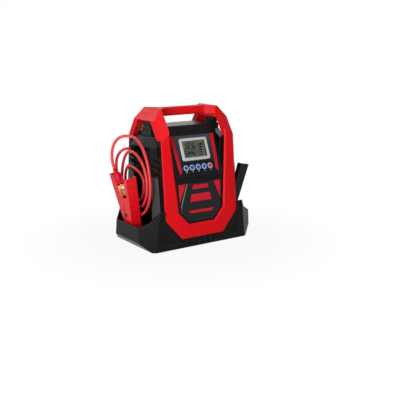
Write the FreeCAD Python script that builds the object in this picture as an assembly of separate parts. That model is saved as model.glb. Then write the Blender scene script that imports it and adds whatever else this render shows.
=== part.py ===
import FreeCAD, Part
import math
import os

# Portable 12/24 V jump-starter power pack with a clamp pocket on each side.
# Frame: X to the right seen from the front, Y to the back, Z up, in millimetres.
# The origin is on the ground at the middle of the pack's box.

V = FreeCAD.Vector

# Overall driving dimensions
top_z = 395.5             # top of the carry handle
body_top_z = 345.0        # flat top of the housing
frame_half_width = 125.2  # outer side of the red frame
frame_depth = 18.0        # thickness of the frame legs, front to back
wall = 3.0                # moulded wall of housing, fascia and tray
clear = 0.3               # running and assembly clearance
foot_height = 3.0
tray_floor = 4.0
floor_z = foot_height + tray_floor

# Front plane of the frame legs: it leans back as it rises
lean_y0 = -118.8
lean_slope = 0.091
# Sloped upper part of the legs, turned outwards a little
bend_x = 123.0
bend_y = -90.4
bend_z = 312.5
upper_turn = 0.35
upper_slope = 0.668
# Roof of each yoke
roof_x = 99.3
roof_slope = 1.203
roof_wall = 4.0
# Lower chamfers and bar of the frame
chamfer_x = 125.5
chamfer_z = 91.6
bar_x = 71.6
bar_z = 30.3
# Window of the frame
window_low_x = 44.2
window_low_z = 70.8
window_mid_x = 76.8
window_mid_z = 106.3
window_top_x = 94.0
window_top_z = 309.0
yoke_inner_wall = 4.0
yoke_skirt_z = 362.0
frame_edge_chamfer = 4.0
frame_edge_radius = 3.5

# Carry handle
handle_low_z = 371.5
handle_half_depth = 17.0
handle_radius = 7.0
gusset_run = 24.0

# Housing
side_x = 139.0
nose_x = 110.0
nose_y = -45.0
nose_z = 319.0
nose_slope = 1.69
side_turn = 9.0 / 87.0
shoulder_top_x = 82.0
shoulder_fold_x = 126.0
shoulder_fold_z = 312.0
shoulder_low_z = 290.0
recess_x = 104.0
recess_half = 48.0
recess_top_z = 272.0
louvre_height = 12.0
louvre_pitch = 18.5
louvre_top_z = 258.5
louvre_count = 3
louvre_front_y = -84.0

# Base tray
tray_front_y = 111.0
tray_side_x = 196.0
tray_corner_x = 156.0
tray_facet_y = 77.0
tray_rear_y = 47.0
ground_x = 163.0
belly_z = 30.0
rim_z = 73.0
rim_corner_z = 95.0
rim_leg_x = 144.0
rim_leg_z = 118.0
groove_count = 5
groove_pitch = 21.0
groove_width = 9.0
groove_depth = 4.0

# Console: sloped control panel over an upright shield
panel_y = -57.5
panel_z = 309.1
panel_lean = 22.5
panel_low_z = 206.0
shield_lean = 5.0
shield_back_y = -99.0
shield_mid_z = 150.0
console_depth = 24.0
console_top_x = 88.0
console_low_x = 76.3
console_top_edge = 6.0

# Display and controls, measured down the panel from the bezel's top edge
bezel_half = 47.9
bezel_height = 66.0
bezel_border = 8.5
bezel_rise = 2.5
bezel_radius = 6.0
overlay_thick = 0.8
overlay_top = 9.0
overlay_low = 109.0
overlay_top_half = 77.0
overlay_low_half = 66.7
button_drop = 86.4
button_pitch = 20.75
button_mid_x = -1.5
button_count = 5
button_diameter = 11.0
ring_diameter = 16.5
ring_thick = 1.2
button_rise = 2.4
button_travel = 1.2
board_gap = 7.0
board_thick = 1.6

# Power section
battery_width = 181.0
battery_depth = 76.0
battery_height = 167.0
terminal_height = 6.0

# Clamps, measured from the pivot, z along the clamp and y across its jaws
pivot_x = 175.5
pivot_z = 98.0
clamp_tilt = 12.0
handle_wide = 15.7
handle_narrow = 12.7
handle_wall = 2.5
pin_radius = 4.0
handle_top = 117.0        # end of the handles above the pivot
handle_spread = 53.0      # back of each handle from the middle, at its end
hub_spread = 32.0         # the same at the pivot
jaw_root = 27.0           # the same at the root of the jaw
jaw_root_z = -26.0
shell_foot = 19.0
shell_foot_z = -50.0
jaw_tip_z = -95.0
jaw_gap = 0.3
hub_radius = 11.0
pin_head = 7.0
grip_count = 6
grip_pitch = 12.5
spring_wire = 2.2
spring_turns = 4
fixed_leg = 40.0
moving_leg = 30.0
boot_neck = 6.4
boot_body = 9.6
boot_low = V(0, 22.0, 80.0)
boot_high = V(0, 38.0, 132.0)

# Cables
cable_diameter = 8.4
gland_y = 58.0
gland_z = 276.5
gland_face_x = 141.0
gland_radius = 8.5
gland_bore = 6.0

# Fittings at the back, measured on the sloped rear wall
fitting_z = 215.0
outlet_x = 30.0
inlet_x = -30.0
outlet_flange = 18.0
outlet_bore = 10.5
cap_thick = 3.0
hinge_rise = 21.0
hinge_out = 5.2
hinge_barrel = 2.2
hinge_pin = 1.2
screw_places = [(103.0, 140.0), (107.0, 250.0)]
screw_shank = 2.2
screw_head = 4.5

BIG = 1200.0


def box(x0, x1, y0, y1, z0, z1):
    return Part.makeBox(x1 - x0, y1 - y0, z1 - z0, V(x0, y0, z0))


def polygon(points):
    return Part.Face(Part.makePolygon(points + [points[0]]))


def prism_x(outline, x0, x1):
    """Extrude a (y, z) outline from x0 to x1."""
    return polygon([V(x0, y, z) for y, z in outline]).extrude(V(x1 - x0, 0, 0))


def prism_y(outline, y0, y1):
    """Extrude an (x, z) outline from y0 to y1."""
    return polygon([V(x, y0, z) for x, z in outline]).extrude(V(0, y1 - y0, 0))


def prism_z(outline, z0, z1):
    """Extrude an (x, y) outline from z0 to z1."""
    return polygon([V(x, y, z0) for x, y in outline]).extrude(V(0, 0, z1 - z0))


def rod(start, end, radius):
    axis = end - start
    return Part.makeCylinder(radius, axis.Length, start, axis)


def tube(start, end, radius, bore):
    return rod(start, end, radius).cut(rod(start, end, bore))


def mirror_x(shape):
    return shape.mirror(V(0, 0, 0), V(1, 0, 0))


def mirror_y(shape):
    return shape.mirror(V(0, 0, 0), V(0, 1, 0))


def both_sides(half):
    """A right-hand outline continued to its mirrored left-hand side."""
    return half + [(-a, b) for a, b in reversed(half) if a != 0]


def outside(point, normal):
    """Everything in front of a plane."""
    block = Part.makeBox(BIG, BIG, BIG, V(-BIG / 2, -BIG / 2, 0))
    block.Placement = FreeCAD.Placement(point, FreeCAD.Rotation(V(0, 0, 1), normal))
    return block


def convex(planes, inset, start):
    """Cut a block by planes given as (point, outward normal), each moved in by the inset."""
    shape = start
    for point, normal in planes:
        unit = V(normal)
        unit.normalize()
        shape = shape.cut(outside(point - unit * inset, unit))
    return shape


def across_x(planes):
    return [(V(-p.x, p.y, p.z), V(-n.x, n.y, n.z)) for p, n in planes]


def across_y(planes):
    return [(V(p.x, -p.y, p.z), V(n.x, -n.y, n.z)) for p, n in planes]


def shifted(planes, distance):
    """The same planes moved backwards along their normals."""
    moved = []
    for point, normal in planes:
        unit = V(normal)
        unit.normalize()
        moved.append((point - unit * distance, unit))
    return moved


def edges_where(shape, test):
    return [e for e in shape.Edges if test(e.CenterOfMass, e)]


def on_plane(point, plane, tolerance=0.02):
    origin, normal = plane
    unit = V(normal)
    unit.normalize()
    return abs((point - origin).dot(unit)) < tolerance


# Planes shared by frame, housing, console and tray
leg_plane = (V(0, lean_y0, 0), V(0, -1, lean_slope))
upper_y0 = bend_y - upper_turn * bend_x - upper_slope * bend_z
upper_right = (V(0, upper_y0, 0), V(upper_turn, -1, upper_slope))
upper_left = across_x([upper_right])[0]
roof_right = (V(roof_x, 0, top_z - 0.5), V(roof_slope, 0, 1))
roof_left = across_x([roof_right])[0]
front_planes = [leg_plane, upper_right, upper_left]
back_planes = shifted(front_planes, frame_depth)


# Red frame

def frame_hull(grow):
    chamfer_run = V(chamfer_x - bar_x, 0, chamfer_z - bar_z)
    chamfer = (V(bar_x, 0, bar_z), V(chamfer_run.z, 0, -chamfer_run.x))
    planes = front_planes + [
        roof_right,
        roof_left,
        chamfer,
        across_x([chamfer])[0],
        (V(0, 0, top_z), V(0, 0, 1)),
        (V(0, 0, bar_z), V(0, 0, -1)),
        (V(frame_half_width, 0, 0), V(1, 0, 0)),
        (V(-frame_half_width, 0, 0), V(-1, 0, 0)),
    ]
    return convex(planes, -grow, box(-200, 200, -200, 0, -10, 450))


def frame_window():
    half = [
        (window_low_x, window_low_z),
        (window_mid_x, window_mid_z),
        (window_top_x, window_top_z),
        (window_top_x, handle_low_z),
    ]
    return prism_y(both_sides(half), -200, 0)


def behind_legs(x0, x1, z1):
    return convex(back_planes, 0, box(x0, x1, -200, 0, -10, z1))


def yoke_hollow():
    inner_x = window_top_x + yoke_inner_wall
    roof_inside = shifted([roof_right], roof_wall)
    hollow = behind_legs(inner_x, 200, top_z - roof_wall)
    hollow = convex(roof_inside, 0, hollow)
    return hollow.fuse(behind_legs(-1, 200, yoke_skirt_z)).removeSplitter()


def gusset():
    """Corner web between the handle and a yoke's sloped leg."""
    outline = [
        (window_top_x - gusset_run, -handle_half_depth),
        (window_top_x + 1, -handle_half_depth),
        (window_top_x + 1, -handle_half_depth - gusset_run - 1),
    ]
    web = prism_z(outline, handle_low_z, top_z)
    return convex(front_planes, 0, web)


def handle_half():
    bar = box(-window_top_x - 1, window_top_x + 1, -handle_half_depth, 0, handle_low_z, top_z)
    long_edges = edges_where(
        bar, lambda c, e: abs(c.y + handle_half_depth) < 0.01 and abs(c.x) < 1 and e.Length > 100)
    return bar.makeFillet(handle_radius, long_edges)


def front_frame():
    hull = frame_hull(0)
    band = hull.cut(frame_window())
    band = band.cut(box(-window_top_x, window_top_x, -200, 0, handle_low_z - 1, 450))
    band = band.cut(yoke_hollow()).cut(mirror_x(yoke_hollow()))
    inner = edges_where(band, lambda c, e: on_plane(c, leg_plane) and abs(c.x) < window_top_x + 1
                        and c.z > window_low_z - 1 and e.Length > 20)
    band = band.makeChamfer(frame_edge_chamfer, inner)
    outer = edges_where(band, lambda c, e: on_plane(c, leg_plane)
                        and (abs(c.x) > chamfer_x - 30 or c.z < bar_z + 1)
                        and abs(c.x) < 126 and outer_edge(c))
    band = band.makeFillet(frame_edge_radius, outer)
    band = band.fuse(handle_half()).fuse(gusset()).fuse(mirror_x(gusset()))
    return band.removeSplitter()


def outer_edge(c):
    """True on the frame's outer outline: its sides, lower chamfers and bottom."""
    on_side = abs(abs(c.x) - frame_half_width) < 0.1
    on_bottom = abs(c.z - bar_z) < 0.5
    run_x = chamfer_x - bar_x
    run_z = chamfer_z - bar_z
    on_chamfer = abs((abs(c.x) - bar_x) * run_z - (c.z - bar_z) * run_x) / math.hypot(run_x, run_z) < 0.5
    return on_side or on_bottom or on_chamfer


# Housing shells

def housing_hull(inset, at_back=False):
    """One half of the housing's block, drawn in front; the rear half follows the panel's slope."""
    side = (V(side_x, 0, 0), V(1, -side_turn, 0))
    shoulder = V(shoulder_fold_x - shoulder_top_x, 0, shoulder_fold_z - body_top_z)
    bevel = V(side_x - shoulder_fold_x, 0, shoulder_low_z - shoulder_fold_z)
    right = [
        side,
        (V(shoulder_fold_x, 0, shoulder_fold_z), V(-shoulder.z, 0, shoulder.x)),
        (V(shoulder_fold_x, 0, shoulder_fold_z), V(-bevel.z, bevel.z * side_turn, bevel.x)),
    ]
    if not at_back:
        right.append((V(nose_x, nose_y, nose_z), V(upper_turn, -1, nose_slope)))
    planes = [back_planes[0]] + right + across_x(right) + [(V(0, 0, body_top_z), V(0, 0, 1))]
    if at_back:
        planes.append(console_planes()[0])
    return convex(planes, inset, box(-200, 200, -200, 0, floor_z, 400))


def side_recess(grow):
    """Bay in the side of the housing where the coiled cable hangs."""
    slope = 26.0
    outline = [
        (recess_x - grow, floor_z - 1),
        (200, floor_z - 1),
        (200, recess_top_z + slope + 30 + grow),
        (recess_x + slope, recess_top_z + slope * 0.5 + grow),
        (recess_x - grow, recess_top_z + grow),
    ]
    return prism_y(outline, -recess_half - grow, 0)


def console_planes():
    lean = math.radians(panel_lean)
    up = math.radians(shield_lean)
    side_run = (console_top_x - console_low_x) / (panel_z + 23 - window_mid_z)
    low_run_x = window_mid_x - window_low_x
    low_run_z = window_mid_z - window_low_z
    side = (V(console_low_x, 0, window_mid_z), V(1, 0, -side_run))
    low = (V(window_low_x - 0.5, 0, window_low_z + 0.5), V(low_run_z, 0, -low_run_x))
    panel = (V(0, panel_y, panel_z), V(0, -math.cos(lean), math.sin(lean)))
    shield = (V(0, shield_back_y, shield_mid_z), V(0, -math.cos(up), math.sin(up)))
    return panel, shield, [side, low] + across_x([side, low])


def console_room(inset):
    """Everything in front of the console's back, within its sides."""
    panel, shield, sides = console_planes()
    limits = sides + [(V(0, 0, window_low_z + 0.5), V(0, 0, -1))]
    room = convex(limits, inset, box(-150, 150, -200, 0, 40, 400))
    upper_back = shifted([panel], console_depth)[0]
    lower_back = shifted([shield], console_depth - 8)[0]
    upper = room.common(outside(upper_back[0], upper_back[1]))
    upper = upper.cut(box(-150, 150, -200, 0, 40, panel_low_z))
    lower = room.common(outside(lower_back[0], lower_back[1]))
    lower = lower.cut(box(-150, 150, -200, 0, panel_low_z, 400))
    return upper.fuse(lower).removeSplitter()


def console_hull(inset, back_open):
    """The console's block: the panel over the shield, cut off level at its back."""
    panel, shield, sides = console_planes()
    limits = sides + [(V(0, 0, body_top_z), V(0, 0, 1)), (V(0, 0, window_low_z + 0.5), V(0, 0, -1))]
    depth = 90 if back_open else 0
    room = box(-150, 150, -150, 0, 40, 400)
    upper_back = shifted([panel], console_depth + depth)[0]
    upper = convex([panel] + limits + [(V(0, 0, panel_low_z), V(0, 0, -1))], inset, room)
    upper = upper.common(outside(upper_back[0], upper_back[1]))
    lower_back = shifted([shield], console_depth - 8 + depth)[0]
    lower = convex([shield] + limits, inset, room)
    lower = lower.common(outside(lower_back[0], lower_back[1]))
    lower = lower.cut(box(-150, 150, -150, 0, panel_low_z + 6, 400))
    return upper.fuse(lower).removeSplitter()


def housing_shell(at_back):
    """Half shell with a recess and louvres in each side, drawn in front."""
    hull = housing_hull(0, at_back)
    shell = hull.cut(housing_hull(wall, at_back))
    for flip in (lambda s: s, mirror_x):
        lining = side_recess(wall).cut(side_recess(0)).common(hull)
        shell = shell.cut(flip(side_recess(0)))
        shell = shell.fuse(flip(lining)).fuse(flip(louvre_block()))
        shell = shell.cut(flip(louvres()))
    return shell


def front_housing():
    shell = housing_shell(False)
    shell = shell.cut(console_room(0))
    return shell.cut(console_hull(6, True)).removeSplitter()


def louvre_block():
    """Solid corner between the side and its recess that the louvres are cut into."""
    span = (louvre_count - 1) * louvre_pitch + louvre_height
    top = louvre_top_z + louvre_height / 2
    block = box(recess_x + 4, side_x + 5, louvre_front_y - 4, -recess_half, top - span - 6, top + 6)
    return block.common(housing_hull(0))


def louvres():
    slots = []
    for i in range(louvre_count):
        z = louvre_top_z - i * louvre_pitch
        slots.append(box(recess_x + 12, side_x + 5, louvre_front_y, -recess_half + 1,
                         z - louvre_height / 2, z + louvre_height / 2))
    return Part.makeCompound(slots)


def rear_housing():
    shell = mirror_y(housing_shell(True))
    for side in (1, -1):
        shell = shell.cut(rod(V(side * 100, gland_y, gland_z), V(side * 150, gland_y, gland_z), gland_bore))
    for side in (1, -1):
        for x, z in screw_places:
            boss = rod(V(side * x, -wall - 14, z - fitting_z), V(side * x, -wall + 1, z - fitting_z), 5)
            shell = shell.fuse(rear_place(boss))
            hole = rod(V(side * x, -wall - 12, z - fitting_z), V(side * x, 5, z - fitting_z), screw_shank)
            shell = shell.cut(rear_place(hole))
    shell = shell.cut(rear_place(rod(V(outlet_x, -10, 0), V(outlet_x, 5, 0), outlet_flange - 4)))
    shell = shell.cut(rear_place(rod(V(inlet_x, -10, 0), V(inlet_x, 5, 0), 8)))
    return shell.removeSplitter()


def rear_place(shape):
    """Move from rear wall axes (x across, y outwards, z up it) to the object."""
    moved = shape.copy()
    wall_y = -(back_planes[0][0].y) + (fitting_z - back_planes[0][0].z) * -lean_slope
    lean = math.degrees(math.atan(lean_slope))
    moved.Placement = FreeCAD.Placement(V(0, wall_y, fitting_z), FreeCAD.Rotation(V(1, 0, 0), lean))
    return moved


# Base tray

def tray_hull(inset):
    facet_low = V(tray_corner_x, -tray_front_y, 5)
    facet_top = V(rim_leg_x, -tray_front_y, rim_leg_z)
    facet_out = V(tray_side_x, -tray_facet_y, rim_z)
    facet = (facet_low, (facet_out - facet_low).cross(facet_top - facet_low))
    rear_out = V(tray_side_x, tray_rear_y, rim_z)
    rear_low = V(tray_corner_x, tray_front_y, 5)
    rear_top = V(rim_leg_x, tray_front_y, rim_leg_z)
    rear_facet = (rear_low, (rear_top - rear_low).cross(rear_out - rear_low))
    belly = V(tray_side_x - ground_x, 0, belly_z)
    right = [
        facet,
        rear_facet,
        (V(tray_side_x, 0, 0), V(1, 0, 0)),
        (V(ground_x, 0, 0), V(belly.z, 0, -belly.x)),
    ]
    planes = right + across_x(right) + [
        (V(0, -tray_front_y, 0), V(0, -1, 0)),
        (V(0, tray_front_y, 0), V(0, 1, 0)),
    ]
    return convex(planes, inset, box(-230, 230, -150, 150, foot_height, 160))


def rim_profile():
    """What lies above the tray's rim, seen from the front."""
    half = [
        (0, rim_leg_z),
        (rim_leg_x, rim_leg_z),
        (tray_corner_x, rim_corner_z),
        (tray_side_x, rim_z),
        (tray_side_x + 40, rim_z),
        (tray_side_x + 40, 200),
        (0, 200),
    ]
    above = prism_y(half, -160, 160)
    return above.fuse(mirror_x(above))


def whole_housing_hull(grow):
    return housing_hull(-grow).fuse(mirror_y(housing_hull(-grow, True))).removeSplitter()


def frame_seat():
    """Room for the frame's foot: its outline, open to the front and the top."""
    half = [
        (bar_x, bar_z - clear),
        (chamfer_x + clear, chamfer_z - clear),
        (chamfer_x + clear, 300),
    ]
    outline = prism_y(both_sides(half), -200, 0)
    return outline.common(outside(back_planes[0][0], back_planes[0][1]))


def base_tray():
    tray = tray_hull(0).cut(rim_profile())
    back_y = -92
    drop = -back_y - tray_front_y
    corner = [
        (-tray_front_y - 1, rim_leg_z + 1),
        (back_y, rim_leg_z + drop),
        (back_y, 200),
        (-tray_front_y - 1, 200),
    ]
    slope = prism_x(corner, -230, 230)
    tray = tray.cut(slope).cut(mirror_y(slope))
    pocket = tray_hull(wall).common(box(100, 230, -92, 92, floor_z, 160))
    tray = tray.cut(pocket).cut(mirror_x(pocket))
    tray = tray.cut(whole_housing_hull(0).common(box(-300, 300, -300, 300, floor_z, 400)))
    tray = tray.cut(frame_seat()).cut(mirror_y(frame_seat()))
    for i in range(groove_count):
        x = (i - (groove_count - 1) / 2) * groove_pitch
        groove = box(x - groove_width / 2, x + groove_width / 2, -tray_front_y - 1,
                     -tray_front_y + groove_depth, foot_height + 3, 40)
        tray = tray.cut(groove)
    panel = prism_y([(137, 82), (137, 17), (78, 17)], -tray_front_y - 1, -tray_front_y + 2)
    tray = tray.cut(panel).cut(mirror_x(panel))
    return tray.removeSplitter()


def rubber_feet():
    feet = []
    for x in (-125, 125):
        for y in (-85, 85):
            feet.append(rod(V(x, y, 0), V(x, y, foot_height), 12))
    return Part.makeCompound(feet)


# Posts under the yokes

def handle_post():
    roof_inside = shifted([roof_right], roof_wall)
    tiers = [(80, 118, 39, 300, 326), (83, 116, 35, 326, 343), (86, 113, 31, 343, 380)]
    post = None
    for x0, x1, half, z0, z1 in tiers:
        tier = box(x0, x1, -half, half, z0, z1)
        post = tier if post is None else post.fuse(tier)
    for z in (331, 337, 348, 354):
        ring = box(70, 130, -60, 60, z, z + 2)
        inner = box(88, 112, -30, 30, z, z + 2)
        post = post.cut(ring.cut(inner))
    inner_x = window_top_x + yoke_inner_wall
    room = convex(roof_inside, 0, box(70, 140, -60, 60, 290, 391))
    post = post.common(room)
    post = post.cut(box(70, inner_x, -60, 60, yoke_skirt_z - 3, 400))
    post = convex(back_planes + across_y(back_planes), clear, post)
    return post.cut(console_hull(-clear, False)).cut(whole_housing_hull(0)).removeSplitter()


# Console

def panel_place(shape):
    """Move from panel axes (x across, y into the panel, z up it) to the object."""
    moved = shape.copy()
    moved.Placement = FreeCAD.Placement(V(0, panel_y, panel_z), FreeCAD.Rotation(V(1, 0, 0), -panel_lean))
    return moved


def shield_place(shape):
    moved = shape.copy()
    place = V(0, shield_back_y, shield_mid_z)
    moved.Placement = FreeCAD.Placement(place, FreeCAD.Rotation(V(1, 0, 0), -shield_lean))
    return moved


def rounded_slab(half_x, z0, z1, y0, y1, radius):
    slab = box(-half_x, half_x, y0, y1, z0, z1)
    corners = edges_where(slab, lambda c, e: abs(abs(c.x) - half_x) < 0.01 and abs(c.y - (y0 + y1) / 2) < 0.01
                          and min(abs(c.z - z0), abs(c.z - z1)) < 0.01)
    return slab.makeFillet(radius, corners)


def button_x(i):
    return button_mid_x + (i - (button_count - 1) / 2) * button_pitch


def panel_fascia():
    shell = console_hull(0, False)
    top_edge = edges_where(shell, lambda c, e: abs(c.z - body_top_z) < 0.01 and c.y < -35 and e.Length > 60)
    shell = shell.makeFillet(console_top_edge, top_edge)
    shell = shell.cut(console_hull(wall, True))
    window = rounded_slab(bezel_half - bezel_border - 1, -bezel_height + bezel_border + 1, -bezel_border - 1,
                          -5, wall + 5, 2)
    shell = shell.cut(panel_place(window))
    for i in range(button_count):
        hole = rod(V(button_x(i), -5, -button_drop), V(button_x(i), wall + 5, -button_drop),
                   button_diameter / 2 + clear)
        shell = shell.cut(panel_place(hole))
    for x in (-62, 62):
        for z in (-8, -98):
            boss = rod(V(x, wall - 1, z), V(x, board_gap, z), 4)
            shell = shell.fuse(panel_place(boss))
    return shell.removeSplitter()


def control_overlay():
    outline = [
        (overlay_top_half, overlay_top),
        (overlay_low_half, -overlay_low),
        (-overlay_low_half, -overlay_low),
        (-overlay_top_half, overlay_top),
    ]
    sheet = prism_y(outline, -overlay_thick, 0)
    opening = rounded_slab(bezel_half, -bezel_height, 0, -5, 5, bezel_radius)
    sheet = sheet.cut(opening)
    for i in range(button_count):
        x = button_x(i)
        sheet = sheet.cut(rod(V(x, -5, -button_drop), V(x, 5, -button_drop), ring_diameter / 2))
    return panel_place(sheet)


def display_bezel():
    ring = rounded_slab(bezel_half, -bezel_height, 0, -bezel_rise, 0, bezel_radius)
    outer = edges_where(ring, lambda c, e: abs(c.y + bezel_rise) < 0.01)
    ring = ring.makeChamfer(1.2, outer)
    opening = rounded_slab(bezel_half - bezel_border, -bezel_height + bezel_border, -bezel_border, -5, 5, 2)
    return panel_place(ring.cut(opening))


def display_window():
    half = bezel_half - bezel_border - 1
    plate = rounded_slab(half - clear, -bezel_height + bezel_border + 1 + clear,
                         -bezel_border - 1 - clear, 1, wall, 2)
    return panel_place(plate)


def display_module():
    half = bezel_half - bezel_border + 3
    block = box(-half, half, wall, board_gap, -bezel_height + bezel_border - 4, -bezel_border + 4)
    return panel_place(block)


def control_board():
    board = box(-68, 68, board_gap, board_gap + board_thick, -104, -2)
    return panel_place(board)


def push_button(i):
    x = button_x(i)
    z = -button_drop
    flange_y = wall + clear
    cap = rod(V(x, -button_rise, z), V(x, flange_y, z), button_diameter / 2)
    rim = edges_where(cap, lambda c, e: abs(c.y + button_rise) < 0.01)
    cap = cap.makeFillet(1.0, rim)
    flange = rod(V(x, flange_y, z), V(x, flange_y + 1, z), button_diameter / 2 + 1.2)
    return panel_place(cap.fuse(flange).removeSplitter())


def button_rings():
    rings = []
    for i in range(button_count):
        x = button_x(i)
        rings.append(tube(V(x, -ring_thick, -button_drop), V(x, 0, -button_drop),
                          ring_diameter / 2, button_diameter / 2 + clear))
    return panel_place(Part.makeCompound(rings))


def button_switches():
    bodies = []
    front = wall + clear + 1 + button_travel + clear
    for i in range(button_count):
        x = button_x(i)
        bodies.append(box(x - 3, x + 3, front, board_gap, -button_drop - 3, -button_drop + 3))
    return panel_place(Part.makeCompound(bodies))


def shield_plate():
    """Raised shield, wider towards its foot and drawn in along the frame's chamfers."""
    half = [(45.5, 36), (66, -19), (70, -30), (70, -46), (42, -75.5)]
    plate = prism_y(both_sides(half), -3, 0)
    rim = edges_where(plate, lambda c, e: abs(c.y + 3) < 0.01)
    plate = plate.makeChamfer(2.4, rim)
    return shield_place(plate)


def shield_label():
    """Three stripes of a label that narrows towards the top."""
    def half_at(z):
        return 24.8 + (30 - z) * 0.26

    stripes = []
    for z0, z1 in ((18.5, 30), (-17.5, 4), (-42.5, -50.5)):
        high = max(z0, z1)
        low = min(z0, z1)
        foot = half_at(low) if low > -45 else half_at(high) - 7
        outline = [(half_at(high), high), (foot, low), (-foot, low), (-half_at(high), high)]
        stripes.append(prism_y(outline, -3.5, -3))
    return shield_place(Part.makeCompound(stripes))


def side_triangles():
    outline = [(48.5, 35), (73, 35), (70.5, -17)]
    patch = prism_y(outline, -0.5, 0)
    return shield_place(Part.makeCompound([patch, mirror_x(patch)]))


# Power section

def battery():
    x = battery_width / 2
    block = box(-x, x, -battery_depth - 0.5, -0.5, floor_z, floor_z + battery_height)
    upright = edges_where(block, lambda c, e: abs(e.Length - battery_height) < 0.01)
    return block.makeFillet(3, upright)


def battery_terminals():
    top = floor_z + battery_height
    posts = []
    for x in (-78, 78):
        for y in (-12, 12):
            posts.append(rod(V(x, y, top), V(x, y, top + terminal_height), 6))
    return Part.makeCompound(posts)


def battery_link():
    top = floor_z + battery_height + terminal_height
    return box(68, 88, -20, 20, top, top + 3)


def battery_bar():
    top = floor_z + battery_height
    return box(-60, 60, -12, 12, top, top + 8)


def main_board():
    base = floor_z + battery_height + 8 + 10
    return box(-70, 70, -50, 50, base, base + 1.6)


def board_standoffs():
    base = floor_z + battery_height + 8
    return Part.makeCompound([rod(V(x, 0, base), V(x, 0, base + 10), 4) for x in (-50, 50)])


def relays():
    base = floor_z + battery_height + 8 + 10 + 1.6
    return Part.makeCompound([rod(V(x, 18, base), V(x, 18, base + 45), 19) for x in (-38, 38)])


def main_fuse():
    base = floor_z + battery_height + 8 + 10 + 1.6
    return box(-20, 20, -44, -28, base, base + 14)


# Clamps, drawn with the handles up: x through the clamp, y across it, z along it

def half_outline():
    """Back and inner edge of the rear half, seen along the pivot pin."""
    return [
        (handle_spread, handle_top),
        (hub_spread, 0),
        (jaw_root, jaw_root_z),
        (shell_foot, shell_foot_z),
        (9, shell_foot_z),
        (3, jaw_root_z + 4),
        (-6, -8),
        (-6, 8),
        (12, 30),
        (handle_spread - 17, handle_top),
    ]


def half_inside():
    thick = handle_wall + 0.5
    return [
        (handle_spread - thick, handle_top + 10),
        (hub_spread - thick, 0),
        (jaw_root - thick, jaw_root_z),
        (shell_foot - thick, shell_foot_z - 1),
        (-40, shell_foot_z - 1),
        (-40, handle_top + 10),
    ]


def clamp_shell(half_width, hole):
    """Channel of one half: a back and two cheeks that meet the pin at the hub."""
    body = prism_x(half_outline(), -half_width, half_width)
    body = body.fuse(rod(V(-half_width, 0, 0), V(half_width, 0, 0), hub_radius)).removeSplitter()
    back = edges_where(body, lambda c, e: abs(abs(c.x) - half_width) < 0.01 and c.y > 20
                       and (abs(c.z - handle_top / 2) < 1 or abs(c.z - jaw_root_z / 2) < 1))
    body = body.makeFillet(2.5, back)
    body = body.cut(prism_x(half_inside(), -half_width + handle_wall, half_width - handle_wall))
    lean = (handle_spread - hub_spread) / handle_top
    for i in range(grip_count):
        z = handle_top - 10 - i * grip_pitch
        y = hub_spread + lean * z
        body = body.cut(rod(V(-half_width - 1, y + 1.2, z), V(half_width + 1, y + 1.2, z), 2.2))
    return body.cut(rod(V(-30, 0, 0), V(30, 0, 0), hole))


def clamp_jaw():
    thick = handle_wall + 0.5
    face = jaw_gap / 2
    outline = [
        (jaw_root - thick, jaw_root_z),
        (shell_foot - thick, shell_foot_z),
        (15, -66),
        (10, -84),
        (9, jaw_tip_z),
        (face, jaw_tip_z),
        (face, -68),
        (6, -60),
        (11, -48),
        (11, jaw_root_z),
    ]
    jaw = prism_x(outline, -9.5, 9.5)
    for i in range(5):
        z = -71 - i * 4.6
        tooth = prism_x([(face - 1, z + 2), (face + 2, z), (face - 1, z - 2)], -20, 20)
        jaw = jaw.cut(tooth)
    return jaw


def clamp_pin():
    end = handle_wide + clear
    pin = rod(V(-end, 0, 0), V(end, 0, 0), pin_radius)
    for side in (1, -1):
        pin = pin.fuse(rod(V(side * end, 0, 0), V(side * (end + 2), 0, 0), pin_head))
    return pin.removeSplitter()


def clamp_spring():
    """Torsion spring round the pin, with a straight leg up each half."""
    mean = pin_radius + clear + spring_wire / 2 + 0.1
    pitch = spring_wire + 0.8
    first = math.radians(204)
    last = math.radians(330) + 2 * math.pi * (spring_turns - 1)
    count = 4 * spring_turns
    half = pitch * (last - first) / (4 * math.pi)
    stations = []
    for i in range(count + 1):
        angle = first + (last - first) * i / count
        x = -half + 2 * half * i / count
        along = V(pitch / (2 * math.pi * mean), -math.sin(angle), math.cos(angle))
        stations.append((V(x, mean * math.cos(angle), mean * math.sin(angle)), along))
    start, start_run = stations[0]
    end, end_run = stations[-1]
    start_run = V(start_run)
    end_run = V(end_run)
    start_run.normalize()
    end_run.normalize()
    edges = [Part.makeLine(start - start_run * moving_leg, start)]
    edges += biarc_edges(stations)
    edges.append(Part.makeLine(end, end + end_run * fixed_leg))
    return pipe(edges, spring_wire / 2, "spring")


def clamp_boot():
    axis = boot_high - boot_low
    axis.normalize()
    body = rod(boot_low, boot_low + axis * 34, boot_body)
    rims = edges_where(body, lambda c, e: e.Length > 40)
    body = body.makeFillet(2.5, rims[:2])
    neck = rod(boot_low + axis * 30, boot_high, boot_neck)
    boot = body.fuse(neck)
    for i in range(3):
        spot = boot_low + axis * (38 + 5 * i)
        boot = boot.cut(tube(spot, spot + axis * 2, boot_neck + 2, boot_neck - 1.2))
    return boot.removeSplitter()


def lug_place():
    """Line along the inner edges of the narrow half, which the lug lies on."""
    low = V(0, 12, 30)
    high = V(0, handle_spread - 17, handle_top)
    along = high - low
    along.normalize()
    return low, along, V(0, -along.z, along.y)


def clamp_lug():
    low, along, off = lug_place()
    plate = Part.makeBox(2 * handle_narrow, 2.5, 36)
    plate.Placement = FreeCAD.Placement(
        low + along * 12 + off * 2.5 - V(handle_narrow, 0, 0),
        FreeCAD.Rotation(V(0, 0, 1), along))
    axis = boot_high - boot_low
    axis.normalize()
    barrel = rod(boot_low - axis * 16, boot_low, 5)
    return plate.fuse(barrel).removeSplitter()


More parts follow.
